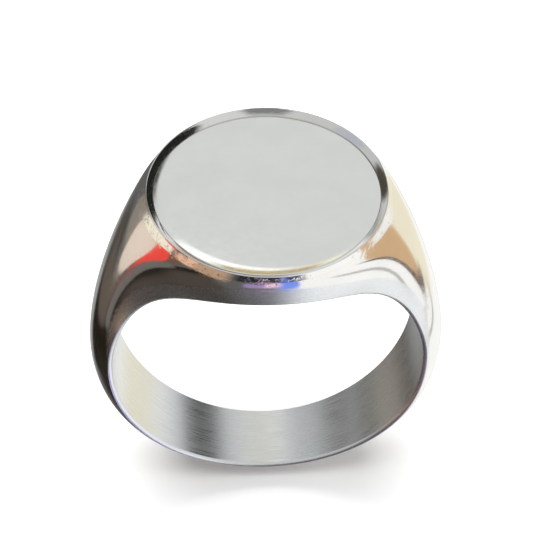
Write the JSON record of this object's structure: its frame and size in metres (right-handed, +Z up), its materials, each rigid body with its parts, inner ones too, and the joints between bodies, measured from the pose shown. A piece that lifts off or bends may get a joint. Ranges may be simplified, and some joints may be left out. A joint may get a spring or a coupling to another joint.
{
  "type": "signet ring",
  "caption": "Finger ring with a flat oval table in a raised rim, wide shoulders and a tapering D-section shank, lined with a plain sleeve.",
  "frame": {"origin": "centre of the finger hole, midway along it", "axes": "+Y along the finger hole from front to back, +Z up through the middle of the table, +X towards the right shoulder"},
  "size_m": [0.0208, 0.0146, 0.0217],
  "materials": {
    "silver_polished": "mirror polished silver",
    "rim_polished": "mirror polished silver",
    "table_polished": "polished silver with fine wear",
    "sleeve_satin": "satin silver",
    "solder": "polished silver solder"
  },
  "bodies": {
    "root": {"liner": "sleeve_satin", "head": "silver_polished", "left_shoulder": "silver_polished", "right_shoulder": "silver_polished", "shank": "silver_polished", "bezel_rim": "rim_polished", "table_plate": "table_polished", "table_solder": "solder", "rim_solder": "solder", "shoulder_solder": "solder", "shank_solder": "solder"}
  },
  "joints": []
}
